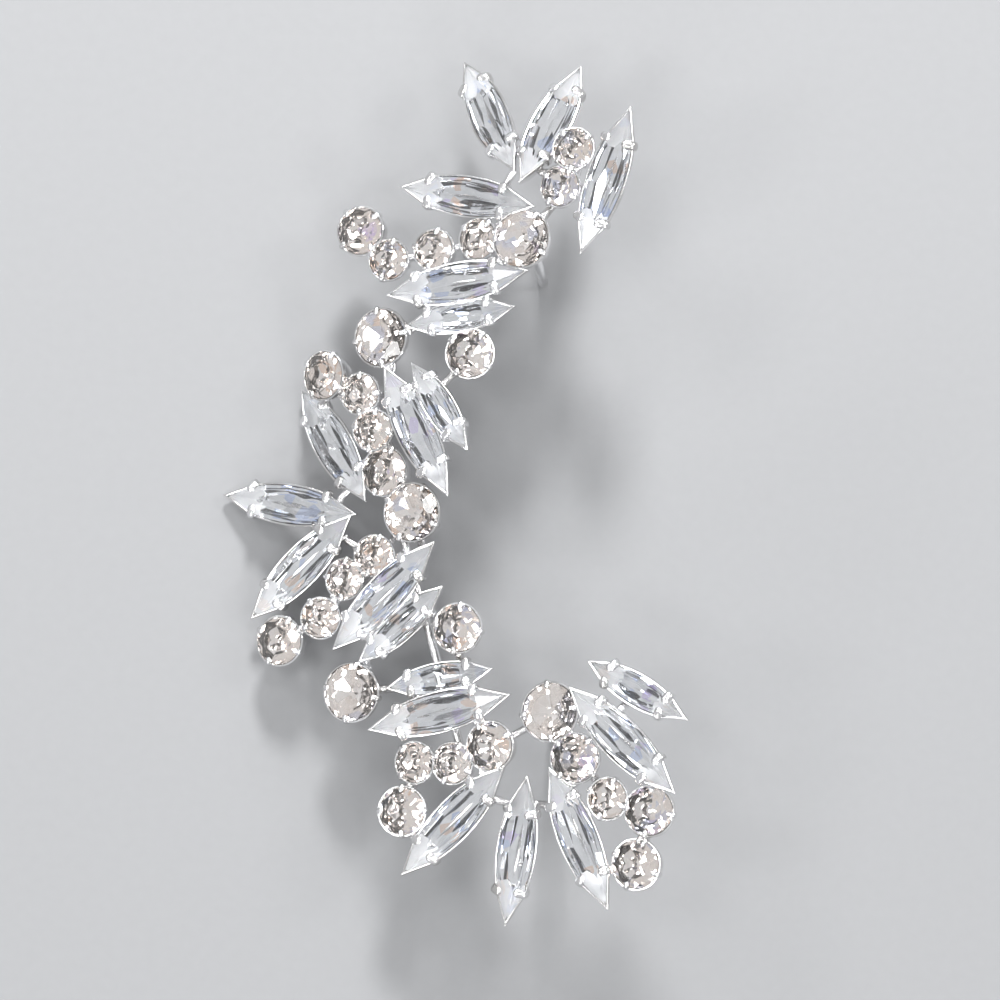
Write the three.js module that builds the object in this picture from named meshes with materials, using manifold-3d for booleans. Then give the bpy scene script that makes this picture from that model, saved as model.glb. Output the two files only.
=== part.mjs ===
// Ear cuff: a long curved spray of navette and round cut stones in soldered metal cups,
// with an ear hook behind its upper end and a lobe post behind its lower end.
// Millimetres, +Z up. The cuff lies face up: its left side is near the ground, and
// the feet of the hook and of the post hold its right side up.

import * as THREE from 'three';
import { ConvexGeometry } from 'three/addons/geometries/ConvexGeometry.js';
import { mergeVertices } from 'three/addons/utils/BufferGeometryUtils.js';
import Module from 'manifold-3d';

// Spray of stones
const SPRAY_LENGTH = 87;
const SPRAY_WIDTH = 49.4;
const SPRAY_SLOPE = 20;
const LIFT_STEP = 1;

// Cut stones
const LONG_NAVETTE_LENGTH = 14.6;
const LONG_NAVETTE_WIDTH = 3.35;
const SHORT_NAVETTE_LENGTH = 10.9;
const SHORT_NAVETTE_WIDTH = 2.45;
const NAVETTE_CROWN_HEIGHT = 0.6;
const NAVETTE_PAVILION_DEPTH = 0.95;
const LARGE_ROUND_DIAMETER = 5.2;
const MEDIUM_ROUND_DIAMETER = 4.3;
const SMALL_ROUND_DIAMETER = 3.5;
const ROUND_CROWN_HEIGHT = 0.65;
const ROUND_PAVILION_DEPTH = 1.15;
const GIRDLE_THICKNESS = 0.15;

// Shares that give the cuts their form
const NAVETTE_TABLE_LENGTH_SHARE = 0.58;
const NAVETTE_TABLE_WIDTH_SHARE = 0.68;
const NAVETTE_TABLE_END_SHARE = 0.44;
const NAVETTE_KEEL_SHARE = 0.6;
const NAVETTE_FULLNESS = 2.3;
const ROUND_TABLE_SHARE = 0.56;
const ROUND_GIRDLE_SIDES = 10;

// Metal cups and claws
const FIT_GAP = 0.15;
const CUP_WALL = 0.22;
const CUP_FLOOR = 0.4;
const CUP_RIM_HEIGHT = 0.12;
const CUP_FOOT_SHARE = 0.8;
const CLAW_WIDTH = 0.6;
const CLAW_DROP = 0.05;
const CLAW_REACH = 0.4;
const CLAW_INSET = 0.08;
const CLAW_POSITION_SHARE = 0.53;

// Solder, bars, wires, hook and post
const SOLDER_OVERLAP = 0.24;
const SOLDER_REACH = 0.3;
const LEAST_SOLDER_VOLUME = 0.02;
const CUP_SPACING = 0.1;
const BAR_WIDTH = 0.9;
const BAR_THICKNESS = 0.6;
const BAR_INSET_SHARE = 0.4;
const BAR_LEVEL_SHARE = 0.7;
const BACK_WIRE_DIAMETER = 0.9;
const HOOK_WIRE_DIAMETER = 1;
const HOOK_FOOT_FORWARD = 2.8;
const HOOK_FOOT_OUTWARD = 1.8;
const POST_DIAMETER = 0.9;
const POST_PAD_DIAMETER = 3.4;
const POST_PAD_THICKNESS = 0.6;
const WIRE_SIDES = 10;
const HOOK_STEPS = 14;

const DEGREE = Math.PI / 180;
const HALF = 0.5;

// A cut's overall sizes: half length, half width, crown height and pavilion depth
const CUTS = {
  long: {
    round: false,
    halfLength: LONG_NAVETTE_LENGTH * HALF,
    halfWidth: LONG_NAVETTE_WIDTH * HALF,
    crown: NAVETTE_CROWN_HEIGHT,
    pavilion: NAVETTE_PAVILION_DEPTH,
  },
  short: {
    round: false,
    halfLength: SHORT_NAVETTE_LENGTH * HALF,
    halfWidth: SHORT_NAVETTE_WIDTH * HALF,
    crown: NAVETTE_CROWN_HEIGHT,
    pavilion: NAVETTE_PAVILION_DEPTH,
  },
  large: roundCut(LARGE_ROUND_DIAMETER),
  medium: roundCut(MEDIUM_ROUND_DIAMETER),
  small: roundCut(SMALL_ROUND_DIAMETER),
};

// Stones in the spray's own plane. x is a share of SPRAY_WIDTH and y of SPRAY_LENGTH, both
// from the middle. For a navette they give its inner tip, for a round its centre.
// lift counts steps of LIFT_STEP above the plane. turn is the way from the inner to the
// outer tip, in degrees from +X. rise tips the end that turn points to up, or down if
// negative. joins names the neighbours that the cup is soldered to.
const TOP_SPRAY = [
  { name: 'navette_top_1', cut: 'long', x: 0.138, y: 0.366, lift: 0.6, turn: 121, rise: -21,
    joins: ['navette_top_3'] },
  { name: 'navette_top_2', cut: 'long', x: 0.155, y: 0.351, lift: 1.2, turn: 73, rise: -30,
    joins: ['round_top_7'] },
  { name: 'navette_top_3', cut: 'long', x: 0.17, y: 0.323, lift: 0.45, turn: 169, rise: -6,
    joins: ['round_top_5'] },
  { name: 'navette_top_4', cut: 'long', x: 0.278, y: 0.267, lift: 0.3, turn: 69, rise: 2,
    joins: ['round_top_7'] },
  { name: 'round_top_1', cut: 'medium', x: -0.205, y: 0.307, lift: 0.05, turn: 180, rise: -3,
    joins: ['round_top_2'] },
  { name: 'round_top_2', cut: 'small', x: -0.136, y: 0.268, lift: 0.2, turn: 180, rise: 2,
    joins: ['round_top_3'] },
  { name: 'round_top_3', cut: 'small', x: -0.041, y: 0.284, lift: 0.08, turn: 90, rise: -5,
    joins: ['round_top_4'] },
  { name: 'round_top_4', cut: 'small', x: 0.063, y: 0.292, lift: -0.05, turn: 180, rise: -7,
    joins: ['round_top_5'] },
  { name: 'round_top_5', cut: 'large', x: 0.168, y: 0.289, lift: 0.5, turn: 90, rise: -4, joins: [] },
  { name: 'round_top_6', cut: 'small', x: 0.263, y: 0.391, lift: 0.12, turn: 0, rise: -5,
    joins: ['round_top_7'] },
  { name: 'round_top_7', cut: 'small', x: 0.231, y: 0.344, lift: -0.04, turn: 0, rise: 3,
    joins: ['round_top_5'] },
];

const UPPER_MIDDLE = [
  { name: 'navette_upper_1', cut: 'long', x: 0.153, y: 0.249, lift: 0.6, turn: 187, rise: -1,
    joins: ['round_top_5', 'round_top_3'] },
  { name: 'navette_upper_2', cut: 'short', x: 0.134, y: 0.207, lift: 0.15, turn: 188, rise: 2,
    joins: ['navette_upper_1'] },
  { name: 'navette_upper_3', cut: 'long', x: -0.149, y: 0.144, lift: 0.5, turn: -61, rise: 5,
    joins: ['round_upper_2'] },
  { name: 'navette_upper_4', cut: 'short', x: -0.084, y: 0.149, lift: 0.1, turn: -53, rise: 12,
    joins: ['navette_upper_3'] },
  { name: 'round_upper_1', cut: 'medium', x: 0.041, y: 0.151, lift: 0, turn: 0, rise: -6,
    joins: ['navette_upper_2', 'navette_upper_4'] },
  { name: 'round_upper_2', cut: 'large', x: -0.155, y: 0.179, lift: 0.3, turn: 180, rise: -8,
    joins: ['navette_upper_2'] },
  { name: 'round_upper_3', cut: 'medium', x: -0.287, y: 0.137, lift: 0.2, turn: 180, rise: -16,
    joins: ['round_upper_4'] },
  { name: 'round_upper_4', cut: 'small', x: -0.2, y: 0.117, lift: -0.08, turn: 180, rise: -3,
    joins: ['navette_upper_3'] },
  { name: 'round_upper_5', cut: 'small', x: -0.172, y: 0.071, lift: 0.12, turn: 180, rise: 4,
    joins: ['round_upper_4'] },
  { name: 'round_upper_6', cut: 'medium', x: -0.144, y: 0.023, lift: 0.02, turn: 180, rise: -6,
    joins: ['round_upper_5'] },
];

const LEFT_FAN = [
  { name: 'navette_left_1', cut: 'long', x: -0.19, y: -0.01, lift: 0.5, turn: 126, rise: -15,
    joins: ['round_upper_6'] },
  { name: 'navette_left_2', cut: 'long', x: -0.209, y: -0.024, lift: 0.2, turn: 171, rise: -5,
    joins: ['navette_left_1'] },
  { name: 'navette_left_3', cut: 'long', x: -0.213, y: -0.032, lift: 0.4, turn: 222, rise: -4,
    joins: ['navette_left_2', 'round_left_2'] },
  { name: 'round_left_1', cut: 'large', x: -0.082, y: -0.028, lift: 0.4, turn: 180, rise: 0,
    joins: ['round_upper_6'] },
  { name: 'round_left_2', cut: 'small', x: -0.172, y: -0.071, lift: 0.1, turn: 180, rise: 4,
    joins: ['round_left_1'] },
  { name: 'round_left_3', cut: 'small', x: -0.244, y: -0.099, lift: -0.05, turn: 180, rise: -4,
    joins: ['round_left_2'] },
  { name: 'round_left_4', cut: 'small', x: -0.287, y: -0.146, lift: 0.14, turn: 180, rise: 3,
    joins: ['round_left_3'] },
  { name: 'round_left_5', cut: 'medium', x: -0.379, y: -0.172, lift: 0.03, turn: 180, rise: -2,
    joins: ['round_left_4'] },
];

const LOWER_MIDDLE = [
  { name: 'navette_lower_1', cut: 'long', x: -0.032, y: -0.06, lift: 0.8, turn: 224, rise: -1,
    joins: ['round_left_1', 'round_left_2'] },
  { name: 'navette_lower_2', cut: 'short', x: -0.017, y: -0.115, lift: 0.1, turn: 221, rise: 4,
    joins: ['navette_lower_1', 'round_lower_2'] },
  { name: 'navette_lower_3', cut: 'short', x: 0.086, y: -0.205, lift: 0.12, turn: 189, rise: -2,
    joins: ['round_lower_2'] },
  { name: 'navette_lower_4', cut: 'long', x: 0.129, y: -0.239, lift: 0.6, turn: 193, rise: 2,
    joins: ['navette_lower_3'] },
  { name: 'round_lower_1', cut: 'medium', x: 0.013, y: -0.16, lift: 0.2, turn: 0, rise: -4,
    joins: ['navette_lower_2', 'navette_lower_3'] },
  { name: 'round_lower_2', cut: 'large', x: -0.218, y: -0.233, lift: 0.22, turn: 180, rise: -2,
    joins: [] },
];

const BOTTOM_FAN = [
  { name: 'navette_bottom_1', cut: 'long', x: 0.116, y: -0.32, lift: 0.4, turn: 225, rise: 1,
    joins: ['round_bottom_3'] },
  { name: 'navette_bottom_2', cut: 'long', x: 0.162, y: -0.33, lift: 0.2, turn: 258, rise: -9,
    joins: ['navette_bottom_1', 'navette_bottom_3'] },
  { name: 'navette_bottom_3', cut: 'long', x: 0.209, y: -0.322, lift: 0.3, turn: -65, rise: 4,
    joins: ['round_bottom_6'] },
  { name: 'navette_bottom_4', cut: 'short', x: 0.293, y: -0.2, lift: 0.3, turn: -30, rise: -2,
    joins: ['navette_bottom_5'] },
  { name: 'navette_bottom_5', cut: 'long', x: 0.256, y: -0.23, lift: 0.8, turn: -43, rise: 3,
    joins: ['round_bottom_5'] },
  { name: 'round_bottom_1', cut: 'small', x: -0.088, y: -0.314, lift: 0.12, turn: 180, rise: -4,
    joins: ['round_bottom_2'] },
  { name: 'round_bottom_2', cut: 'small', x: 0.002, y: -0.317, lift: -0.03, turn: 180, rise: 3,
    joins: ['round_bottom_3'] },
  { name: 'round_bottom_3', cut: 'medium', x: 0.088, y: -0.293, lift: 0.2, turn: 180, rise: -3,
    joins: ['navette_lower_4', 'round_bottom_5'] },
  { name: 'round_bottom_4', cut: 'medium', x: -0.108, y: -0.37, lift: 0.04, turn: 180, rise: 2,
    joins: ['round_bottom_1'] },
  { name: 'round_bottom_5', cut: 'large', x: 0.211, y: -0.256, lift: 0.4, turn: 90, rise: -6,
    joins: [] },
  { name: 'round_bottom_6', cut: 'medium', x: 0.267, y: -0.31, lift: 0.05, turn: 0, rise: -4,
    joins: ['round_bottom_5'] },
  { name: 'round_bottom_7', cut: 'small', x: 0.328, y: -0.356, lift: 0.15, turn: 0, rise: 4,
    joins: ['round_bottom_6'] },
  { name: 'round_bottom_8', cut: 'medium', x: 0.422, y: -0.37, lift: -0.02, turn: 0, rise: -5,
    joins: ['round_bottom_7'] },
  { name: 'round_bottom_9', cut: 'medium', x: 0.392, y: -0.43, lift: 0.1, turn: 0, rise: 2,
    joins: ['round_bottom_8'] },
];

const STONE_ROWS = [...TOP_SPRAY, ...UPPER_MIDDLE, ...LEFT_FAN, ...LOWER_MIDDLE, ...BOTTOM_FAN];

// The straight round wire behind the lower middle. Each end lies on a cup's back: bearing in
// degrees from +X and reach as a share of that cup's radius.
const BACK_WIRE = {
  from: { cup: 'round_left_1', bearing: 219, reach: 0.9 },
  to: { cup: 'round_bottom_2', bearing: 0, reach: 0.4 },
};

const HOOK_CUP = 'round_top_5';
const POST_CUP = 'round_bottom_5';

// Placing of the stones
const SETTLE_PASSES = 40;
const OUTLINE_STATIONS = [-0.84, -0.56, -0.28, 0, 0.28, 0.56, 0.84];
const NAVETTE_OUTLINE_STATIONS = [-0.6, 0, 0.6];
const BACKBONE_SHARE = 0.7;

const METAL = new THREE.MeshStandardMaterial({ color: 0xd9dce0, roughness: 0.18, metalness: 1 });

const wasm = await Module();
wasm.setup();

// The sizes of a round cut of a given diameter
function roundCut(diameter) {
  return {
    round: true,
    halfLength: diameter * HALF,
    halfWidth: diameter * HALF,
    crown: ROUND_CROWN_HEIGHT,
    pavilion: ROUND_PAVILION_DEPTH,
  };
}

// A navette's half width at a station from -1 at one tip to 1 at the other
function navetteHalfWidth(halfWidth, station) {
  return halfWidth * (1 - Math.abs(station) ** NAVETTE_FULLNESS);
}

// Points of a cut's girdle line, swollen by a margin, at height z
function girdlePoints(cut, margin, z) {
  const points = [];
  const length = cut.halfLength + margin;
  const width = cut.halfWidth + margin;
  if (cut.round) {
    for (let i = 0; i < ROUND_GIRDLE_SIDES; i += 1) {
      const angle = (i * 2 * Math.PI) / ROUND_GIRDLE_SIDES;
      points.push(new THREE.Vector3(length * Math.cos(angle), width * Math.sin(angle), z));
    }
    return points;
  }
  points.push(new THREE.Vector3(-length, 0, z));
  points.push(new THREE.Vector3(length, 0, z));
  for (const station of NAVETTE_OUTLINE_STATIONS) {
    for (const side of [-1, 1]) {
      points.push(new THREE.Vector3(length * station, side * navetteHalfWidth(width, station), z));
    }
  }
  return points;
}

// Points of the flat table on top of a cut
function tablePoints(cut, margin) {
  const points = [];
  const z = cut.crown + margin;
  const length = cut.halfLength + margin;
  const width = cut.halfWidth + margin;
  if (cut.round) {
    for (let i = 0; i < ROUND_GIRDLE_SIDES; i += 1) {
      const angle = ((i + HALF) * 2 * Math.PI) / ROUND_GIRDLE_SIDES;
      const radius = length * ROUND_TABLE_SHARE;
      points.push(new THREE.Vector3(radius * Math.cos(angle), radius * Math.sin(angle), z));
    }
    return points;
  }
  for (const side of [-1, 1]) {
    points.push(new THREE.Vector3(0, side * width * NAVETTE_TABLE_WIDTH_SHARE, z));
    for (const end of [-1, 1]) {
      const x = end * length * NAVETTE_TABLE_LENGTH_SHARE;
      points.push(new THREE.Vector3(x, side * width * NAVETTE_TABLE_END_SHARE, z));
    }
  }
  return points;
}

// The culet of a round, or the keel line of a navette
function pavilionPoints(cut, margin) {
  const z = -GIRDLE_THICKNESS - cut.pavilion - margin;
  if (cut.round) {
    return [new THREE.Vector3(0, 0, z)];
  }
  const reach = cut.halfLength * NAVETTE_KEEL_SHARE;
  return [new THREE.Vector3(-reach, 0, z), new THREE.Vector3(reach, 0, z)];
}

// A whole stone: the hull of its table, its girdle and its back
function stoneGeometry(cut) {
  return new ConvexGeometry([
    ...tablePoints(cut, 0),
    ...girdlePoints(cut, 0, 0),
    ...girdlePoints(cut, 0, -GIRDLE_THICKNESS),
    ...pavilionPoints(cut, 0),
  ]);
}

// The pocket that a stone sits in. A navette's follows the crown, which its claws bend over.
function pocketGeometry(cut) {
  const crown = cut.round
    ? girdlePoints(cut, FIT_GAP, cut.crown)
    : [...tablePoints(cut, FIT_GAP), ...girdlePoints(cut, FIT_GAP, 0)];
  return new ConvexGeometry([
    ...crown,
    ...girdlePoints(cut, FIT_GAP, -GIRDLE_THICKNESS),
    ...pavilionPoints(cut, FIT_GAP),
  ]);
}

// How far a cup's underside lies below the girdle
function cupDepth(cut) {
  return GIRDLE_THICKNESS + cut.pavilion + FIT_GAP + CUP_FLOOR;
}

// A closed cup: the girdle's outline widened by the gap and the wall, drawn in at its foot
function cupGeometry(cut) {
  const margin = FIT_GAP + CUP_WALL;
  const foot = girdlePoints(cut, margin, -cupDepth(cut));
  for (const point of foot) {
    point.x *= CUP_FOOT_SHARE;
    point.y *= CUP_FOOT_SHARE;
  }
  return new ConvexGeometry([
    ...girdlePoints(cut, margin, CUP_RIM_HEIGHT),
    ...foot,
  ]);
}

// The saddle over a navette's neck. Its pocket cuts it into two claws, one on each side, that
// stand on the cup's wall and bend in over the edge of the crown.
function clawSaddleGeometry(cut, end) {
  const margin = FIT_GAP + CUP_WALL;
  const station = end * CLAW_POSITION_SHARE;
  const middle = station * (cut.halfLength + margin);
  const wall = navetteHalfWidth(cut.halfWidth + margin, station);
  const points = [];
  for (const x of [middle - CLAW_WIDTH * HALF, middle + CLAW_WIDTH * HALF]) {
    for (const side of [-1, 1]) {
      points.push(new THREE.Vector3(x, side * (wall - CLAW_INSET), -CLAW_DROP));
      points.push(new THREE.Vector3(x, side * (wall - CLAW_REACH), cut.crown));
    }
  }
  return new ConvexGeometry(points);
}

// The turn of a stone in the spray's plane
function stoneTurn(row) {
  const turn = new THREE.Quaternion().setFromAxisAngle(new THREE.Vector3(0, 0, 1), row.turn * DEGREE);
  const rise = new THREE.Quaternion().setFromAxisAngle(new THREE.Vector3(0, 1, 0), -row.rise * DEGREE);
  return turn.multiply(rise);
}

// A stone of the spray, placed by its row
function placeStone(row) {
  const cut = CUTS[row.cut];
  const quaternion = stoneTurn(row);
  const position = new THREE.Vector3(row.x * SPRAY_WIDTH, row.y * SPRAY_LENGTH, row.lift * LIFT_STEP);
  if (!cut.round) {
    const reach = cut.halfLength + FIT_GAP + CUP_WALL;
    position.add(new THREE.Vector3(reach, 0, 0).applyQuaternion(quaternion));
  }
  return { name: row.name, joins: row.joins, cut, position, quaternion };
}

// Circles that cover a cup's outline in the spray's plane
function outlineCircles(stone) {
  const margin = FIT_GAP + CUP_WALL;
  if (stone.cut.round) {
    return [{ centre: stone.position, radius: stone.cut.halfWidth + margin }];
  }
  return OUTLINE_STATIONS.map((station) => {
    const offset = new THREE.Vector3((stone.cut.halfLength + margin) * station, 0, 0);
    return {
      centre: offset.applyQuaternion(stone.quaternion).add(stone.position),
      radius: navetteHalfWidth(stone.cut.halfWidth + margin, station),
    };
  });
}

// The gap between two cups' outlines, negative where they overlap, and the way across it
function outlineGap(first, second) {
  let gap = Infinity;
  let way = null;
  for (const one of outlineCircles(first)) {
    for (const other of outlineCircles(second)) {
      const across = new THREE.Vector3().subVectors(other.centre, one.centre).setZ(0);
      const between = across.length() - one.radius - other.radius;
      if (between < gap) {
        gap = between;
        way = across.normalize();
      }
    }
  }
  return { gap, way };
}

function areJoined(first, second) {
  return first.joins.includes(second.name) || second.joins.includes(first.name);
}

// Soldered cups close up until their walls meet, and other neighbours keep a space
function settle(stones) {
  for (let pass = 0; pass < SETTLE_PASSES; pass += 1) {
    for (let i = 0; i < stones.length; i += 1) {
      for (let j = i + 1; j < stones.length; j += 1) {
        const { gap, way } = outlineGap(stones[i], stones[j]);
        const joined = areJoined(stones[i], stones[j]);
        const wanted = joined ? -SOLDER_OVERLAP : CUP_SPACING;
        if (gap < wanted || (joined && gap < SOLDER_REACH)) {
          const push = way.multiplyScalar((wanted - gap) * HALF);
          stones[i].position.sub(push);
          stones[j].position.add(push);
        }
      }
    }
  }
}

// A manifold solid from a closed geometry, put in place by a matrix
function toSolid(geometry, matrix = new THREE.Matrix4()) {
  const bare = geometry.clone();
  bare.deleteAttribute('normal');
  bare.deleteAttribute('uv');
  const merged = mergeVertices(bare);
  merged.applyMatrix4(matrix);
  return new wasm.Manifold(new wasm.Mesh({
    numProp: 3,
    vertProperties: new Float32Array(merged.attributes.position.array),
    triVerts: new Uint32Array(merged.index.array),
  }));
}

// A geometry with flat facets from a manifold solid
function toGeometry(solid) {
  const mesh = solid.getMesh();
  const geometry = new THREE.BufferGeometry();
  geometry.setAttribute('position', new THREE.BufferAttribute(new Float32Array(mesh.vertProperties), 3));
  geometry.setIndex(new THREE.BufferAttribute(new Uint32Array(mesh.triVerts), 1));
  const flat = geometry.toNonIndexed();
  flat.computeVertexNormals();
  return flat;
}

// The matrix from a stone's own frame to the spray's frame
function stoneMatrix(stone) {
  return new THREE.Matrix4().compose(stone.position, stone.quaternion, new THREE.Vector3(1, 1, 1));
}

// The point on the middle line of a cup's floor that is nearest to a target
function nearestBackPoint(stone, matrix, target) {
  const z = -cupDepth(stone.cut) + CUP_FLOOR * BAR_LEVEL_SHARE - BAR_THICKNESS * HALF;
  const reach = stone.cut.round ? 0 : stone.cut.halfLength * BACKBONE_SHARE;
  const line = new THREE.Line3(
    new THREE.Vector3(-reach, 0, z).applyMatrix4(matrix),
    new THREE.Vector3(reach, 0, z).applyMatrix4(matrix),
  );
  return stone.cut.round ? line.start : line.closestPointToPoint(target, true, new THREE.Vector3());
}

// A straight bar between two points, drawn in at each end by its own share
function barSolid(start, end, startInset, endInset) {
  const way = end.clone().sub(start).normalize();
  const near = start.clone().addScaledVector(way, startInset);
  const far = end.clone().addScaledVector(way, -endInset);
  const length = near.distanceTo(far);
  const middle = near.clone().add(far).multiplyScalar(HALF);
  const turn = new THREE.Quaternion().setFromUnitVectors(new THREE.Vector3(1, 0, 0), way);
  const matrix = new THREE.Matrix4().compose(middle, turn, new THREE.Vector3(1, 1, 1));
  return toSolid(new THREE.BoxGeometry(length, BAR_WIDTH, BAR_THICKNESS), matrix);
}

// A round wire along a curve
function wireGeometry(curve, diameter, steps) {
  const section = new THREE.Shape();
  for (let i = 0; i < WIRE_SIDES; i += 1) {
    const angle = (i * 2 * Math.PI) / WIRE_SIDES;
    const x = diameter * HALF * Math.cos(angle);
    const y = diameter * HALF * Math.sin(angle);
    if (i === 0) {
      section.moveTo(x, y);
    } else {
      section.lineTo(x, y);
    }
  }
  section.closePath();
  return new THREE.ExtrudeGeometry(section, { steps, bevelEnabled: false, extrudePath: curve });
}

// The point on a cup's back at a bearing and a share of its radius
function backPoint(stone, matrix, end) {
  const radius = stone.cut.halfWidth * end.reach;
  const x = radius * Math.cos(end.bearing * DEGREE);
  const y = radius * Math.sin(end.bearing * DEGREE);
  const level = -cupDepth(stone.cut);
  const unturned = new THREE.Vector3(x, y, 0).applyQuaternion(stone.quaternion.clone().invert());
  unturned.z = level;
  return unturned.applyMatrix4(matrix);
}

// A cup with its claws and its pocket, in its stone's own frame
function settingGeometry(cut) {
  let solid = toSolid(cupGeometry(cut));
  for (const end of cut.round ? [] : [-1, 1]) {
    solid = solid.add(toSolid(clawSaddleGeometry(cut, end)));
  }
  return toGeometry(solid.subtract(toSolid(pocketGeometry(cut))));
}

// The ear hook: from the back of its cup it bows down to a foot on the ground
function hookGeometry(start, ground) {
  const foot = new THREE.Vector3(start.x + HOOK_FOOT_OUTWARD, start.y - HOOK_FOOT_FORWARD, ground);
  const height = start.z - ground;
  const curve = new THREE.CubicBezierCurve3(
    start,
    new THREE.Vector3(start.x, start.y + HOOK_FOOT_FORWARD, start.z - height * HALF),
    new THREE.Vector3(foot.x, foot.y, ground + height * HALF),
    foot,
  );
  return wireGeometry(curve, HOOK_WIRE_DIAMETER, HOOK_STEPS);
}

// The lobe post's straight pin, from the back of its cup to the ground
function pinGeometry(start, ground) {
  const length = start.z - ground;
  const pin = new THREE.CylinderGeometry(POST_DIAMETER * HALF, POST_DIAMETER * HALF, length, WIRE_SIDES);
  pin.rotateX(Math.PI * HALF);
  pin.translate(start.x, start.y, ground + length * HALF);
  return pin;
}

// The round pad that the lobe post stands on, in its stone's own frame
function padGeometry(cut) {
  const radius = POST_PAD_DIAMETER * HALF;
  const pad = new THREE.CylinderGeometry(radius, radius, POST_PAD_THICKNESS, ROUND_GIRDLE_SIDES);
  pad.rotateX(Math.PI * HALF);
  pad.translate(0, 0, -cupDepth(cut));
  return pad;
}

// The height of a geometry's lowest point once a matrix has placed it
function lowest(geometry, matrix) {
  const placed = geometry.clone().applyMatrix4(matrix);
  placed.computeBoundingBox();
  return placed.boundingBox.min.z;
}

// How far from the middle of a cup's floor a bar starts. A navette's middle line has none.
function barInset(cut) {
  return cut.round ? cut.halfWidth * BAR_INSET_SHARE : 0;
}

// A bar between the backs of two cups
function bridgeSolid(stone, matrix, other, otherMatrix) {
  const middle = new THREE.Vector3().setFromMatrixPosition(otherMatrix);
  const ownPoint = nearestBackPoint(stone, matrix, middle);
  const otherPoint = nearestBackPoint(other, otherMatrix, ownPoint);
  const start = nearestBackPoint(stone, matrix, otherPoint);
  return barSolid(start, otherPoint, barInset(stone.cut), barInset(other.cut));
}

// Two soldered cups hold by their walls where these meet well enough
function wallsMeet(setting, otherSetting) {
  return setting.intersect(otherSetting).volume() > LEAST_SOLDER_VOLUME;
}

// All the soldered metal in the spray's frame: settings, bars, wire, hook and post. What lies
// behind the settings is cut clear of the stones.
function metalSolid(stones, sprayMatrix) {
  const byName = new Map(stones.map((stone) => [stone.name, stone]));
  const matrices = new Map(stones.map((stone) => [stone.name, stoneMatrix(stone)]));
  const settings = new Map(stones.map((stone) => (
    [stone.name, toSolid(settingGeometry(stone.cut), matrices.get(stone.name))]
  )));
  const behind = [];
  for (const stone of stones) {
    for (const name of stone.joins) {
      if (!wallsMeet(settings.get(stone.name), settings.get(name))) {
        behind.push(bridgeSolid(stone, matrices.get(stone.name), byName.get(name), matrices.get(name)));
      }
    }
  }
  const wireEnds = [BACK_WIRE.from, BACK_WIRE.to].map((end) => (
    backPoint(byName.get(end.cup), matrices.get(end.cup), end)
  ));
  behind.push(toSolid(wireGeometry(new THREE.LineCurve3(...wireEnds), BACK_WIRE_DIAMETER, 1)));

  const fromGround = sprayMatrix.clone().invert();
  const ground = Math.min(...stones.map((stone) => (
    lowest(cupGeometry(stone.cut), stoneMatrix(stone).premultiply(sprayMatrix))
  )));
  const floorMiddle = (name) => new THREE.Vector3(0, 0, -cupDepth(byName.get(name).cut) + CUP_FLOOR * HALF)
    .applyMatrix4(matrices.get(name))
    .applyMatrix4(sprayMatrix);
  behind.push(toSolid(hookGeometry(floorMiddle(HOOK_CUP), ground), fromGround));
  behind.push(toSolid(pinGeometry(floorMiddle(POST_CUP), ground), fromGround));
  behind.push(toSolid(padGeometry(byName.get(POST_CUP).cut), matrices.get(POST_CUP)));

  let fixings = behind.reduce((whole, solid) => whole.add(solid));
  for (const stone of stones) {
    fixings = fixings.subtract(toSolid(pocketGeometry(stone.cut), matrices.get(stone.name)));
  }
  return [...settings.values()].reduce((whole, setting) => whole.add(setting), fixings);
}

const spray = new THREE.Group();
spray.rotation.y = -SPRAY_SLOPE * DEGREE;
spray.updateMatrix();

const stones = STONE_ROWS.map(placeStone);
settle(stones);

for (const stone of stones) {
  const glass = new THREE.MeshStandardMaterial({ color: 0xeef1f6, roughness: 0.05, metalness: 0 });
  const mesh = new THREE.Mesh(stoneGeometry(stone.cut), glass);
  mesh.name = stone.name;
  mesh.position.copy(stone.position);
  mesh.quaternion.copy(stone.quaternion);
  spray.add(mesh);
}

const metalFrame = new THREE.Mesh(toGeometry(metalSolid(stones, spray.matrix)), METAL);
metalFrame.name = 'metal_frame';
spray.add(metalFrame);

// The cuff stands on the ground with its box centred over the origin
const cuff = new THREE.Group();
cuff.add(spray);
cuff.updateMatrixWorld(true);
const box = new THREE.Box3().setFromObject(cuff, true);
cuff.position.set(-(box.min.x + box.max.x) * HALF, -(box.min.y + box.max.y) * HALF, -box.min.z);

const earCuff = new THREE.Group();
earCuff.add(cuff);

export default earCuff;
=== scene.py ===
"""The look of the ear cuff: foil-backed cut stones in soldered silver cups, on a pale floor."""
import math
import random

import bmesh
import bpy
from mathutils import Matrix, Vector


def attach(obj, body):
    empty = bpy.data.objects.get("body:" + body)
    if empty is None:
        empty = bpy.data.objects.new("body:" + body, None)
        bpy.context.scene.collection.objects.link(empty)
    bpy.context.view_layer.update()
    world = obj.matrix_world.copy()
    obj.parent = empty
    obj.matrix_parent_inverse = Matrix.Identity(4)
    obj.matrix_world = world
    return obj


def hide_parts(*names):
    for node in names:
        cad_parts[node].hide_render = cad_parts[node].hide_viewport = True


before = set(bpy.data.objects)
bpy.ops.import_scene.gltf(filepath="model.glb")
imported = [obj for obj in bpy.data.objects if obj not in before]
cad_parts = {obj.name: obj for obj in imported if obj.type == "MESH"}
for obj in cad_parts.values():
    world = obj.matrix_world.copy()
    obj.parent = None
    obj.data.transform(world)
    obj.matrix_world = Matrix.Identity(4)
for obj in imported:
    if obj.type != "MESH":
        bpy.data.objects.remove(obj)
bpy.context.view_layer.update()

MM = 0.001
UP = Vector((0, 0, 1))
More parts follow.
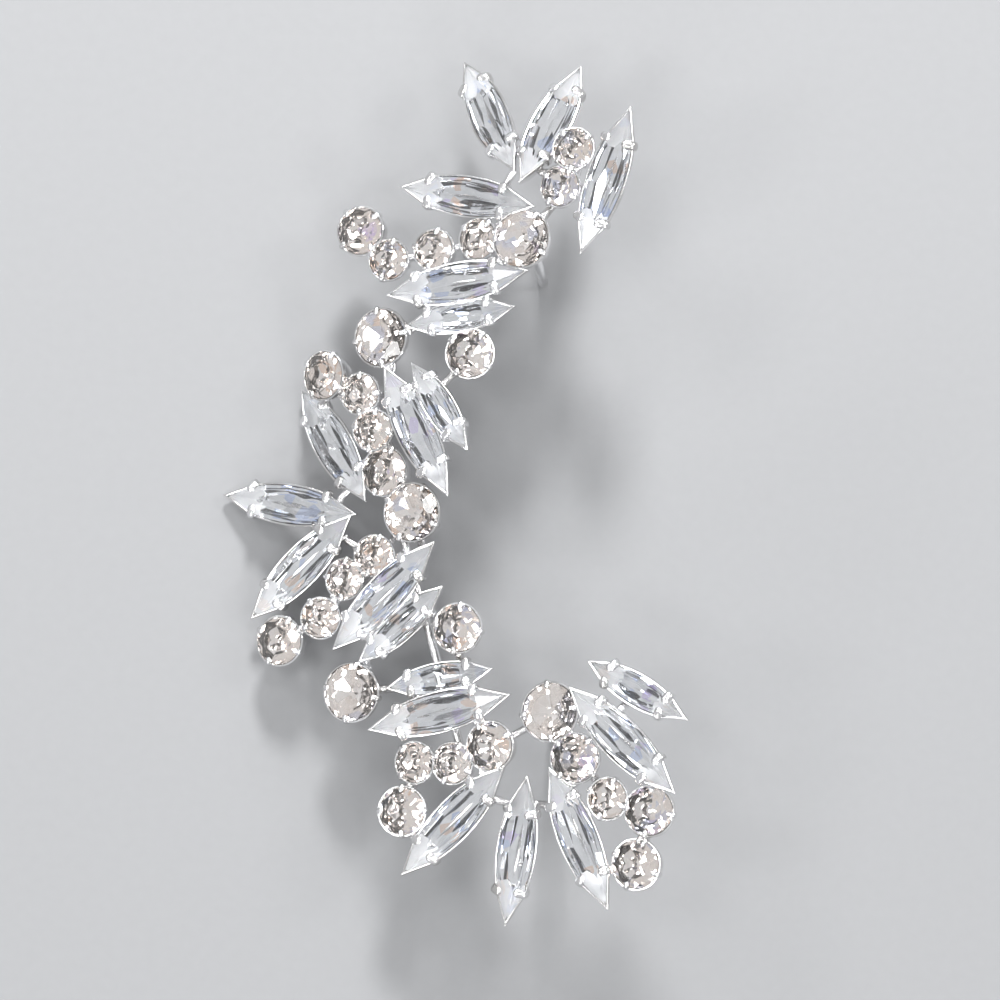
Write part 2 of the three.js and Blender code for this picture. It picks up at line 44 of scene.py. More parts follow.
random.seed(11)

# Lengths are in millimetres, and a stone's levels are from its girdle's upper edge. SPREAD is
# how far a finished stone reaches past the plain one, into the gap that its cup leaves. CROWN
# is the height of the table, also in the CAD, and GIRDLE the height of the upright band.
SPREAD = 0.19
GIRDLE = 0.15
CROWN = {"navette": 0.6, "round": 0.65}

# CAD faces whose normals' dot product is above this are one plane
SAME_PLANE = 0.9998

# Crown of a round stone: the share of the radius that slopes, where the facets start (RISE
# above the girdle, REACH and LEVEL as shares of radius and crown), and how steep the stars and
# the edge facets are next to the main ones
GIRDLE_SEGMENTS = 64
CROWN_SLOPE_SHARE = 0.42
MAIN_RISE = 0.04
STAR_REACH = 0.6
STAR_LEVEL = 0.99
STAR_STEEPNESS = 0.62
EDGE_RISE = 0.03
EDGE_STEEPNESS = 1.22

# Back of a round stone: its depth as a share of a full cone's, the slopes for small and medium
# stones and for large ones, where the main facets start below the girdle, and how steep the
# edge facets are next to them
ROUND_CULET_SHARE = 0.95
ROUND_BACK_TILT = (math.radians(37), math.radians(23))
LARGE_ROUND_RADIUS = 2.5
CULET_TILT = math.radians(13)
BACK_MAIN_DROP = 0.03
BACK_EDGE_STEEPNESS = 1.2

# Navettes: the necks, as shares of the half length and half width; a side between the necks is
# an arc of ARC_STEPS steps, and BOAT_FULLNESS is how full the whole outline is
NAVETTE_PAVILION = 1.2
NECK_SHARE = 0.56
NECK_WIDTH = 0.74
ARC_STEPS = 22
BOAT_FULLNESS = 2.3

# Bevels of a navette's crown: places along it as shares of the half length, the share of the
# half width that they slope across, and how steep those at the tips are next to the others
BEVEL_PLACES = (-0.44, -0.15, 0.15, 0.44)
BEVEL_RISE = 0.05
NAVETTE_BEVEL_SHARE = 0.3
TIP_PLACE = 0.9
TIP_RISE = 0.03
TIP_STEEPNESS = 0.86
END_FALL_SHARE = 0.8

# Long facets of a navette's back: place along it, share of the half width where the facet
# starts, depth there below the girdle and slope in degrees, on one side; the other is turned
NAVETTE_BACK = (
    (-0.40, 1.00, 0.02, 50), (0.00, 1.00, 0.02, 53), (0.40, 1.00, 0.02, 48),
    (-0.30, 0.84, 0.35, 42), (0.25, 0.84, 0.35, 39),
    (-0.15, 0.36, 1.05, 17), (0.35, 0.36, 1.05, 13),
)
NAVETTE_END_BACK = math.radians(42)
NAVETTE_TIP_SHARE = 0.93

# How much of a foil mirrors; the rest of it scatters the light
FOIL_METALLIC = 0.93
TIP_FOIL_METALLIC = 0.75

# Places of the materials in a stone and in the metal
CLEAR, FOIL, TIP = 0, 1, 2
PLATE, SOLDERED, CLAWED = 0, 1, 2

# Cups: how far they reach past the plain stone, the wall, how high the rim stands and the foot's
# share of the rim
CUP_MARGIN = 0.46
CUP_WALL = 0.2
CUP_RIM = 0.12
CUP_FOOT_SHARE = 0.8

# A round cup: CUP_FLOOR is the metal below its stone. Its band stands out by BAND_STEP above the
# tapered wall, over three levels; the rim and the foot are rounded, and the floor is dished.
CUP_FLOOR = 0.45
CUP_SEGMENTS = 48
BAND_LEVELS = (-0.42, -0.34, -0.28)
BAND_STEP = 0.05
RIM_DROP = 0.05
RIM_INSET = 0.04
FOOT_FLAT_SHARE = 0.9
FOOT_ROUNDING = 0.06
DISH_SHARE = 0.3
DISH_DEPTHS = (0.04, 0.05)

# A navette's cup: its depth, and levels and widths of the wall, going up, and of the hollow,
# going down
NAVETTE_CUP_DEPTH = 1.7
NAVETTE_WALL = ((-0.4, 0.985), (-0.3, 1), (CUP_RIM, 1))
NAVETTE_HOLLOW = ((-GIRDLE, 1), (-GIRDLE - 0.62, 0.8), (-GIRDLE - NAVETTE_PAVILION, 0.3))
NAVETTE_RIM_ROUNDING = 0.045

# Claws: their size is width and thickness, and their levels are those of the foot, the knee and
# the tip. The knee stands out from the foot by KNEE_OUT, and the tip goes in over the stone by
# REACH. A round cup's claw starts INSET from its edge; a navette's tip swings along the stone.
ROUND_CLAWS = 4
ROUND_CLAW_SIZE = (0.56, 0.36)
ROUND_CLAW_LEVELS = (-0.5, 0.2, 0.5)
ROUND_CLAW_INSET = 0.06
ROUND_KNEE_OUT = 0.02
ROUND_CLAW_REACH = 0.66
NAVETTE_CLAW_SHARE = 0.53
NAVETTE_CLAW_SIZE = (0.9, 0.44)
NAVETTE_CLAW_LEVELS = (-0.6, 0.34, 0.78)
NAVETTE_KNEE_OUT = 0.06
NAVETTE_CLAW_SWING = 0.35
NAVETTE_CLAW_REACH = (0.85, 1.1)

# A claw's path: steps between its points, how much it arches, the share of its width over which
# its end is rounded, the least it narrows to, and how much its flat side leans
CLAW_STEPS = 4
CLAW_ARCH = 0.06
CLAW_END_SHARE = 0.45
CLAW_TIP_LEAST = 0.06
CLAW_LEAN = 0.2

# Metal edges sharper than this stay sharp
METAL_SMOOTH = math.radians(38)

# Cups that are soldered to each other
JOINS = {
    "navette_top_1": ["navette_top_3"], "navette_top_2": ["round_top_7"],
    "navette_top_3": ["round_top_5"], "navette_top_4": ["round_top_7"],
    "round_top_1": ["round_top_2"], "round_top_2": ["round_top_3"], "round_top_3": ["round_top_4"],
    "round_top_4": ["round_top_5"], "round_top_6": ["round_top_7"], "round_top_7": ["round_top_5"],
    "navette_upper_1": ["round_top_5", "round_top_3"], "navette_upper_2": ["navette_upper_1"],
    "navette_upper_3": ["round_upper_2"], "navette_upper_4": ["navette_upper_3"],
    "round_upper_1": ["navette_upper_2", "navette_upper_4"], "round_upper_2": ["navette_upper_2"],
    "round_upper_3": ["round_upper_4"], "round_upper_4": ["navette_upper_3"],
    "round_upper_5": ["round_upper_4"], "round_upper_6": ["round_upper_5"],
    "navette_left_1": ["round_upper_6"], "navette_left_2": ["navette_left_1"],
    "navette_left_3": ["navette_left_2", "round_left_2"], "round_left_1": ["round_upper_6"],
    "round_left_2": ["round_left_1"], "round_left_3": ["round_left_2"],
    "round_left_4": ["round_left_3"], "round_left_5": ["round_left_4"],
    "navette_lower_1": ["round_left_1", "round_left_2"],
    "navette_lower_2": ["navette_lower_1", "round_lower_2"], "navette_lower_3": ["round_lower_2"],
    "navette_lower_4": ["navette_lower_3"], "round_lower_1": ["navette_lower_2", "navette_lower_3"],
    "navette_bottom_1": ["round_bottom_3"],
    "navette_bottom_2": ["navette_bottom_1", "navette_bottom_3"],
    "navette_bottom_3": ["round_bottom_6"], "navette_bottom_4": ["navette_bottom_5"],
    "navette_bottom_5": ["round_bottom_5"], "round_bottom_1": ["round_bottom_2"],
    "round_bottom_2": ["round_bottom_3"], "round_bottom_3": ["navette_lower_4", "round_bottom_5"],
    "round_bottom_4": ["round_bottom_1"], "round_bottom_6": ["round_bottom_5"],
    "round_bottom_7": ["round_bottom_6"], "round_bottom_8": ["round_bottom_7"],
    "round_bottom_9": ["round_bottom_8"],
}

# Solder: cups closer than BEAD_REACH get a bead with DROPS small drops round it
BEAD_REACH = 0.5
BEAD_SIZES = (0.36, 0.52)
BEAD_SINK = 0.05
BEAD_FINENESS = 3
BEAD_RIPPLE = 0.09
BEAD_WAVES = (5, 4)
BEAD_STRETCH = (0.4, 0.3)
BEAD_HEIGHT = 0.8
DROPS = 3
DROP_REACH = 0.42
DROP_SIZES = (0.16, 0.3)
DROP_FINENESS = 2

# A bar under each join: its level below the girdle, and how far its ends are inside the cups
BAR_RADIUS = 0.4
BAR_UNEVEN = (0.9, 0.25)
BAR_FLAT = 0.8
BAR_LEVEL = 1.25
BAR_INSET = 0.7
BAR_STEPS = 3

# The nearest points of two cups, found by going to and fro between their outlines
OUTLINE_LEVEL = 0.35
OUTLINE_STEPS = 40
NEAREST_ROUNDS = 8

# Wires: sides of the thin and the thick ones, and how far a wire sinks into a cup's floor
WIRE_SIDES = 12
THICK_WIRE_SIDES = 16
WIRE_SINK = 0.2

# The wire behind the lower half: for each end a cup, a bearing in degrees and a share of the
# stone's radius
BACK_WIRE = (("round_left_1", 219, 0.9), ("round_bottom_2", 0, 0.4))
BACK_WIRE_RADIUS = 0.45
BACK_WIRE_STEPS = 12

# The ear hook, a curve from its cup's floor to the ground
HOOK_CUP = "round_top_5"
HOOK_RADIUS = 0.5
HOOK_FORWARD = 2.8
HOOK_OUTWARD = 1.8
HOOK_STEPS = 28

# The lobe post, with a groove near its end, and its pad. The profile holds places along the
# post and shares of its radius.
POST_CUP = "round_bottom_5"
POST_RADIUS = 0.45
POST_PROFILE = ((0, 1), (0.75, 1), (0.79, 0.94), (0.81, 0.8), (0.83, 0.94), (0.85, 1),
                (0.97, 1), (1, 0.82))
POST_PAD_RADIUS = 1.7
POST_PAD_THICKNESS = 0.5
POST_PAD_SIDES = 40
POST_PAD_ROUNDING = 0.1

# Materials: the sockets of a colour mix have no names of their own, so they go by number; the
# stops are the places and colours of the rare flashes of fire, painted coloured glints in the
# foil's colour, with white between them
MIX_A, MIX_B, MIX_RESULT = 6, 7, 2
PLATING_RELIEF = 0.00004
CRYSTAL_IOR = 1.56
PAINTED_FIRE_SIZE = 900
PAINTED_FIRE_STOPS = ((0.80, (0.45, 0.6, 1.0)), (0.86, (1, 1, 1)), (0.89, (1.0, 0.62, 0.36)),
              (0.925, (1, 1, 1)), (0.95, (0.72, 0.55, 1.0)), (0.98, (1, 1, 1)))

# The stage, in metres and degrees. Soft boxes round the cuff: azimuth from +X, elevation,
# width, height and radiance
FLOOR_HALF = 2.5
BOX_DISTANCE = 0.60
BOXES = (
    ("key", 88, 30, 0.10, 0.09, 200),
    ("high_north", 70, 66, 0.13, 0.07, 13),
    ("high_west", 158, 70, 0.09, 0.15, 12),
    ("high_south", 250, 64, 0.16, 0.08, 13),
    ("high_east", 335, 68, 0.08, 0.14, 12),
    ("west", 196, 47, 0.10, 0.16, 13),
    ("north_west", 132, 40, 0.15, 0.10, 14),
    ("south_east", 300, 40, 0.16, 0.12, 12),
    ("east", 20, 38, 0.12, 0.16, 13),
    ("south_west", 232, 24, 0.14, 0.10, 12),
)
CAMERA_ELEVATION = 86
CAMERA_DISTANCE = 0.45
CAMERA_LENS = 160.5
CAMERA_AIM = Vector((0.00503, -0.00117, 0.008))


def new_piece(bm, name, materials, node, smooth=None):
    """Makes a finished piece, which replaces a CAD node, from a bmesh in millimetres that
    already sits in place. Edges sharper than smooth, an angle, stay sharp."""
    if smooth is not None:
        for face in bm.faces:
            face.smooth = True
        for edge in bm.edges:
            edge.smooth = len(edge.link_faces) == 2 and edge.calc_face_angle(0) < smooth
    bmesh.ops.scale(bm, vec=(MM, MM, MM), verts=bm.verts[:])
    mesh = bpy.data.meshes.new(name)
    bm.to_mesh(mesh)
    bm.free()
    for material in materials:
        mesh.materials.append(material)
    piece = bpy.data.objects.new(name, mesh)
    bpy.context.scene.collection.objects.link(piece)
    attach(piece, "root")
    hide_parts(node)


def back_slope(radius):
    """The slope of a round stone's back"""
    return ROUND_BACK_TILT[1 if radius > LARGE_ROUND_RADIUS else 0]


def back_depth(radius):
    """How deep a round stone's back is below its girdle"""
    return ROUND_CULET_SHARE * (radius + SPREAD) * math.tan(back_slope(radius))


def cup_depth(radius):
    """How deep a round cup is below its stone's girdle"""
    return back_depth(radius) + CUP_FLOOR


def add_into(whole, part, matrix):
    """Copies a part's mesh into a whole one, turned and moved by a matrix."""
    mesh = bpy.data.meshes.new("part")
    part.to_mesh(mesh)
    mesh.transform(matrix)
    whole.from_mesh(mesh)
    bpy.data.meshes.remove(mesh)


def cut_facet(bm, point, normal):
    """Grinds a flat facet: takes away what lies beyond the plane and closes the cut."""
    cut = bmesh.ops.bisect_plane(
        bm, geom=bm.verts[:] + bm.edges[:] + bm.faces[:], dist=1e-5,
        plane_co=point, plane_no=normal, clear_outer=True)
    edges = [e for e in cut["geom_cut"] if isinstance(e, bmesh.types.BMEdge)]
    edges = [e for e in edges if e.is_boundary]
    if len(edges) < 3:
        return
    bmesh.ops.edgenet_fill(bm, edges=edges)
    bm.normal_update()


def lean(bearing, tilt, down=False):
    """A facet's normal: a bearing round the stone and a tilt from straight up or down."""
    across = Vector((math.cos(bearing), math.sin(bearing), 0))
    return across * math.sin(tilt) + (-UP if down else UP) * math.cos(tilt)


def facet_ring(bm, count, shift, reach, level, tilt, down=False):
    """Cuts a ring of like facets through points at one reach and level, turned by a share of
    a step."""
    for k in range(count):
        bearing = (k + shift) * math.tau / count
        point = Vector((math.cos(bearing) * reach, math.sin(bearing) * reach, level))
        cut_facet(bm, point, lean(bearing, tilt, down))


def boat_arc(half_length, half_width):
    """The radius of a boat's side between its necks, and how far its centre is across"""
    neck = NECK_SHARE * half_length
    rise = half_width * (1 - NECK_WIDTH)
    radius = (neck ** 2 + rise ** 2) / (2 * rise)
    return radius, half_width - radius


def boat_face(bm, half_length, half_width, z):
    """A boat-shaped face: an arc spun from neck to neck, straight on to both tips, and all of
    it mirrored."""
    radius, across = boat_arc(half_length, half_width)
    neck = NECK_SHARE * half_length
    start = bm.verts.new((neck, NECK_WIDTH * half_width, z))
    bmesh.ops.spin(bm, geom=[start], cent=(0, across, z), axis=UP,
                   angle=2 * math.asin(neck / radius), steps=ARC_STEPS)
    far = min(bm.verts, key=lambda v: v.co.x)
    bm.edges.new((start, bm.verts.new((half_length, 0, z))))
    bm.edges.new((far, bm.verts.new((-half_length, 0, z))))
    bmesh.ops.mirror(bm, geom=bm.verts[:] + bm.edges[:], matrix=Matrix.Identity(4), axis="Y",
                     merge_dist=1e-4)
    bmesh.ops.remove_doubles(bm, verts=bm.verts[:], dist=1e-4)
    return bmesh.ops.contextual_create(bm, geom=bm.edges[:])["faces"][0]


def silver_back(bm):
    """Turns every facet outwards and gives the girdle and all below it to the foil"""
    bmesh.ops.recalc_face_normals(bm, faces=bm.faces[:])
    for face in bm.faces:
        face.material_index = FOIL if face.normal.z < 0.1 else CLEAR


def cut_round(radius):
    """A round stone: table, eight kites, stars and edge facets above, a silvered cone of
    facets below."""
    bm = bmesh.new()
    crown, pavilion = CROWN["round"], back_depth(radius)
    r = radius + SPREAD
    height = crown + pavilion + GIRDLE
    bmesh.ops.create_cone(bm, cap_ends=True, segments=GIRDLE_SEGMENTS, radius1=r, radius2=r,
                          depth=height)
    bmesh.ops.translate(bm, verts=bm.verts[:], vec=(0, 0, crown - height / 2))
    tilt = math.atan2(crown - MAIN_RISE, r * CROWN_SLOPE_SHARE)
    facet_ring(bm, 8, 0, r, MAIN_RISE, tilt)
    facet_ring(bm, 8, 0.5, r * STAR_REACH, crown * STAR_LEVEL, tilt * STAR_STEEPNESS)
    facet_ring(bm, 16, 0.5, r, EDGE_RISE, tilt * EDGE_STEEPNESS)
    slope = back_slope(radius)
    facet_ring(bm, 8, 0, 0, -GIRDLE - pavilion, CULET_TILT, down=True)
    facet_ring(bm, 8, 0.5, r, -GIRDLE - BACK_MAIN_DROP, slope, down=True)
    facet_ring(bm, 16, 0.5, r, -GIRDLE, slope * BACK_EDGE_STEEPNESS, down=True)
    silver_back(bm)
    return bm


def cut_navette(half_length, half_width):
    """A boat-shaped stone: a long table cut straight across at its necks, bevels along the
    sides, flat end facets, and a silvered keel below."""
    bm = bmesh.new()
    crown = CROWN["navette"]
    a, b = half_length + SPREAD, half_width + SPREAD
    face = boat_face(bm, a, b, -GIRDLE - NAVETTE_PAVILION)
    grown = bmesh.ops.extrude_face_region(bm, geom=[face])
    tops = [v for v in grown["geom"] if isinstance(v, bmesh.types.BMVert)]
    bmesh.ops.translate(bm, verts=tops, vec=(0, 0, crown + GIRDLE + NAVETTE_PAVILION))
    bmesh.ops.recalc_face_normals(bm, faces=bm.faces[:])
    radius, across = boat_arc(a, b)
    neck = NECK_SHARE * a
    straight = Vector((b * NECK_WIDTH, a - neck, 0)).normalized()

    def edge(share, side):
        """The outline's point at a share of the half length, and the way out from it"""
        x = share * a
        if abs(x) > neck:
            out = Vector((math.copysign(straight.x, x), side * straight.y, 0))
            return Vector((math.copysign(a, x), 0, 0)), out
        y = across + math.sqrt(radius ** 2 - x ** 2)
        return Vector((x, side * y, 0)), Vector((x, side * (y - across), 0)).normalized()

    def slanted(point, out, tilt, up=1):
        """Cuts a facet that leans out by a tilt, with up -1 for one of the back"""
        cut_facet(bm, point, out * math.sin(tilt) + UP * up * math.cos(tilt))

    bevel = math.atan2(crown - BEVEL_RISE, b * NAVETTE_BEVEL_SHARE)
    for side in (-1, 1):
        for share in BEVEL_PLACES:
            point, out = edge(share, side)
            slanted(point + UP * BEVEL_RISE, out, bevel)
        for share in (-TIP_PLACE, TIP_PLACE):
            point, out = edge(share, side)
            slanted(point + UP * TIP_RISE, out, bevel * TIP_STEEPNESS)
    for end in (-1, 1):
        slanted(Vector((end * neck, 0, crown)), Vector((end, 0, 0)),
                math.atan2(crown * END_FALL_SHARE, a - neck))
    for side in (-1, 1):
        for share, width, depth, slope in NAVETTE_BACK:
            point, out = edge(share * side, side)
            start = Vector((point.x, point.y * width, -GIRDLE - depth))
            slanted(start, out, math.radians(slope), up=-1)
    for end in (-1, 1):
        for side in (-1, 1):
            point, out = edge(end * TIP_PLACE, side)
            slanted(point - UP * GIRDLE, out, NAVETTE_END_BACK, up=-1)
    silver_back(bm)
    for face in bm.faces:
        reach = max(abs(v.co.x) for v in face.verts)
        if face.material_index == FOIL and reach > a * NAVETTE_TIP_SHARE:
            face.material_index = TIP
    return bm


def round_cup(radius):
    """A round cup, spun from its section: tapered wall, rounded rim and a dished floor."""
    bm = bmesh.new()
    rim = radius + CUP_MARGIN
    inner = rim - CUP_WALL
    depth = cup_depth(radius)
    bottom = -GIRDLE - back_depth(radius)
    foot = rim * CUP_FOOT_SHARE
    taper, step, band = BAND_LEVELS
    section = [
        (0, -depth), (foot * FOOT_FLAT_SHARE, -depth), (foot, -depth + FOOT_ROUNDING),
        (rim - BAND_STEP, taper), (rim - BAND_STEP, step), (rim, band),
        (rim, CUP_RIM - RIM_DROP), (rim - RIM_INSET, CUP_RIM),
        (inner + RIM_INSET, CUP_RIM), (inner, CUP_RIM - RIM_DROP), (inner, -GIRDLE),
        (inner * DISH_SHARE, bottom - DISH_DEPTHS[0]), (0, bottom - DISH_DEPTHS[1]),
    ]
    verts = [bm.verts.new((r, 0, z)) for r, z in section]
    edges = [bm.edges.new(pair) for pair in zip(verts, verts[1:])]
    bmesh.ops.spin(bm, geom=verts + edges, cent=(0, 0, 0), axis=UP, angle=math.tau,
                   steps=CUP_SEGMENTS, use_merge=True)
    bmesh.ops.remove_doubles(bm, verts=bm.verts[:], dist=1e-4)
    bmesh.ops.recalc_face_normals(bm, faces=bm.faces[:])
    return bm


def navette_cup(half_length, half_width):
    """A boat-shaped cup: its outline drawn up from the foot, then hollowed."""
    bm = bmesh.new()
    a, b = half_length + CUP_MARGIN, half_width + CUP_MARGIN
    face = boat_face(bm, a * CUP_FOOT_SHARE, b * CUP_FOOT_SHARE, -NAVETTE_CUP_DEPTH)
    inside = []
    for level, share in NAVETTE_WALL:
        grown = bmesh.ops.extrude_face_region(bm, geom=[face])
        face = next(f for f in grown["geom"] if isinstance(f, bmesh.types.BMFace))
        inside.append(face)
        verts = face.verts[:]
        rise = level - verts[0].co.z
        factor = a * share / max(v.co.x for v in verts)
        bmesh.ops.scale(bm, vec=(factor, factor, 1), verts=verts)
        bmesh.ops.translate(bm, verts=verts, vec=(0, 0, rise))
    bmesh.ops.delete(bm, geom=[f for f in inside[:-1] if f.is_valid], context="FACES_ONLY")
    bmesh.ops.inset_region(bm, faces=[face], thickness=CUP_WALL, use_even_offset=True)
    last = 1
    for level, share in NAVETTE_HOLLOW:
        face = bmesh.ops.extrude_discrete_faces(bm, faces=[face])["faces"][0]
        verts = face.verts[:]
        bmesh.ops.translate(bm, verts=verts, vec=(0, 0, level - verts[0].co.z))
        narrowed = share / last
        last = share
        bmesh.ops.scale(bm, vec=(0.5 + narrowed / 2, narrowed, 1), verts=verts)
    bmesh.ops.remove_doubles(bm, verts=bm.verts[:], dist=1e-4)
    bmesh.ops.recalc_face_normals(bm, faces=bm.faces[:])
    rim_edges = [e for e in bm.edges if all(abs(v.co.z - CUP_RIM) < 1e-5 for v in e.verts)]
    bmesh.ops.bevel(bm, geom=rim_edges, offset=NAVETTE_RIM_ROUNDING, offset_type="OFFSET",
                    segments=2, profile=0.5, affect="EDGES", material=-1)
    return bm


def drawn_wire(bm, path, radii, sides=WIRE_SIDES, flat=1.0, across=None, metal=PLATE):
    """A wire drawn through a path: rings bridged one after another, with closed ends.
    flat squeezes it along across; metal is its material's place."""
    wire = bmesh.new()
    rings = []
    for i, point in enumerate(path):
        before = path[max(i - 1, 0)]
        after = path[min(i + 1, len(path) - 1)]
        way = (after - before).normalized()
        side = across or (UP if abs(way.z) < 0.9 else Vector((1, 0, 0)))
        side = (side - way * side.dot(way)).normalized()
        turn = Matrix((way.cross(side), side, way)).transposed().to_4x4()
        ends = i in (0, len(path) - 1)
        ring = bmesh.ops.create_circle(
            wire, cap_ends=ends, segments=sides, radius=radii[i],
            matrix=Matrix.Translation(point) @ turn @ Matrix.Diagonal((1, flat, 1, 1)))
        rings.append(list(dict.fromkeys(e for v in ring["verts"] for e in v.link_edges)))
    for lower, upper in zip(rings, rings[1:]):
        bmesh.ops.bridge_loops(wire, edges=lower + upper)
    bmesh.ops.recalc_face_normals(wire, faces=wire.faces[:])
    for face in wire.faces:
        face.material_index = metal
    add_into(bm, wire, Matrix.Identity(4))
    wire.free()


def bent(points, steps):
    """A smooth path through a few points"""
    path = []
    last = len(points) - 1
    for i in range(last):
        p0, p1, p2, p3 = (points[min(max(i + k, 0), last)] for k in (-1, 0, 1, 2))
        for s in range(steps):
            t = s / steps
            path.append(0.5 * (2 * p1 + (p2 - p0) * t + (2 * p0 - 5 * p1 + 4 * p2 - p3) * t * t
                               + (3 * p1 - p0 - 3 * p2 + p3) * t ** 3))
    path.append(points[-1])
    return path


def claw(bm, foot, knee, tip, width, thickness):
    """A claw bent from the cup's wall over the stone's edge, with a rounded end"""
    arch = (knee + tip) / 2 + UP * CLAW_ARCH
    path = bent([foot, (foot + knee) / 2, knee, arch, tip], CLAW_STEPS)
    radii = []
    for point in path:
        left = min((path[-1] - point).length / (width * CLAW_END_SHARE), 1)
        radii.append(width / 2 * math.sqrt(max(1 - (1 - left) ** 2, CLAW_TIP_LEAST)))
    drawn_wire(bm, path, radii, flat=thickness / width, across=UP + (knee - tip) * CLAW_LEAN,
               metal=CLAWED)


def round_claws(bm, stone):
    """The claws of a round cup, evenly round its rim"""
    foot, knee, tip = ROUND_CLAW_LEVELS
    rim = stone["b"] + CUP_MARGIN - ROUND_CLAW_INSET
    for k in range(ROUND_CLAWS):
        turn = Matrix.Rotation(k * math.tau / ROUND_CLAWS, 3, "Z")
        claw(bm, turn @ Vector((rim, 0, foot)),
             turn @ Vector((rim + ROUND_KNEE_OUT, 0, knee)),
             turn @ Vector((rim - ROUND_CLAW_REACH, 0, tip)), *ROUND_CLAW_SIZE)


def navette_claws(bm, stone):
    """The two claws at each neck of a navette's cup"""
    foot, knee, tip = NAVETTE_CLAW_LEVELS
    wall = (stone["b"] + CUP_MARGIN) * (1 - NAVETTE_CLAW_SHARE ** BOAT_FULLNESS)
    for end in (-1, 1):
        for side in (-1, 1):
            x = end * NAVETTE_CLAW_SHARE * (stone["a"] + CUP_MARGIN)
            swing = random.uniform(-NAVETTE_CLAW_SWING, NAVETTE_CLAW_SWING)
            reach = random.uniform(*NAVETTE_CLAW_REACH)
            claw(bm, Vector((x, side * wall, foot)),
                 Vector((x, side * (wall + NAVETTE_KNEE_OUT), knee)),
                 Vector((x + swing, side * (wall - reach), tip)), *NAVETTE_CLAW_SIZE)


def solder_bead(bm, place, size, seed, fineness=BEAD_FINENESS):
    """A small lump of solder, a little uneven"""
    rng = random.Random(seed)
    bead = bmesh.new()
    bmesh.ops.create_icosphere(bead, subdivisions=fineness, radius=size)
    for vert in bead.verts:
        ripple = (math.sin(vert.co.x * BEAD_WAVES[0] / size + seed)
                  * math.cos(vert.co.y * BEAD_WAVES[1] / size + seed * 2))
        vert.co *= 1 + BEAD_RIPPLE * ripple
    for face in bead.faces:
        face.material_index = SOLDERED
    wide, long = (1 + rng.random() * most for most in BEAD_STRETCH)
    turn = Matrix.Rotation(rng.random() * math.tau, 4, "Z")
    stretch = Matrix.Diagonal((wide, long, BEAD_HEIGHT, 1))
    add_into(bm, bead, Matrix.Translation(place) @ turn @ stretch)
    bead.free()


def seat(node):
    """A stone's own frame, in millimetres: the middle of its table's plane at girdle level,
    +X along the stone and +Z out of its table."""
    mesh = node.data
    groups = []
    for face in mesh.polygons:
        for group in groups:
            if group[0].dot(face.normal) > SAME_PLANE:
                group[1] += face.area
                group[2] += face.center * face.area
                break
        else:
            groups.append([face.normal.copy(), face.area, face.center * face.area])
    normal, area, total = max((g for g in groups if g[0].z > 0), key=lambda g: g[1])
    table = total / area / MM
    verts = [v.co / MM for v in mesh.vertices]
    kind = node.name.split("_")[0]
    if kind == "round":
        long = Vector((0, 1, 0))
    else:
        long = max(((p - q) for p in verts for q in verts), key=lambda d: d.length)
    long = (long - normal * long.dot(normal)).normalized()
    if long.x < 0:
        long = -long
    matrix = Matrix((long, normal.cross(long), normal)).transposed().to_4x4()
    matrix.translation = table - normal * CROWN[kind]
    local = matrix.inverted()
    flat = [(local @ p).xy for p in verts]
    if kind == "round":
        half_width = half_length = max(p.length for p in flat)
    else:
        half_length, half_width = max(p.x for p in flat), max(p.y for p in flat)
    return {"name": node.name, "kind": kind, "matrix": matrix,
            "a": round(half_length, 2), "b": round(half_width, 2)}


def outline_near(stone, point, level=OUTLINE_LEVEL, inset=0.0):
    """The point of a cup's outer wall nearest to a point, at a level below the girdle"""
    local = stone["matrix"].inverted() @ point
    if stone["kind"] == "round":
        flat = Vector((local.x, local.y, 0))
        rim = flat.normalized() * (stone["b"] + CUP_MARGIN - inset)
    else:
        a, b = stone["a"] + CUP_MARGIN - inset, stone["b"] + CUP_MARGIN - inset
        shares = [k / OUTLINE_STEPS for k in range(-OUTLINE_STEPS, OUTLINE_STEPS + 1)]
        rim = min((Vector((a * t, side * b * (1 - abs(t) ** BOAT_FULLNESS), 0))
                   for side in (-1, 1) for t in shares),
                  key=lambda p: (p.xy - local.xy).length)
    return stone["matrix"] @ (rim - UP * level)


def shader(name):
    """A new material with only an output and a principled shader"""
    material = bpy.data.materials.new(name)
    material.use_nodes = True
    tree = material.node_tree
    tree.nodes.clear()
    out = tree.nodes.new("ShaderNodeOutputMaterial")
    principled = tree.nodes.new("ShaderNodeBsdfPrincipled")
    tree.links.new(principled.outputs[0], out.inputs["Surface"])
    return material, tree, principled


def new_group(name, inputs, outputs):
    """An empty shader node group with named sockets"""
    group = bpy.data.node_groups.new(name, "ShaderNodeTree")
    for label, kind, value in inputs:
        socket = group.interface.new_socket(label, in_out="INPUT", socket_type=kind)
        if value is not None:
            socket.default_value = value
    for label, kind in outputs:
        group.interface.new_socket(label, in_out="OUTPUT", socket_type=kind)
    return group, group.nodes.new("NodeGroupInput"), group.nodes.new("NodeGroupOutput")


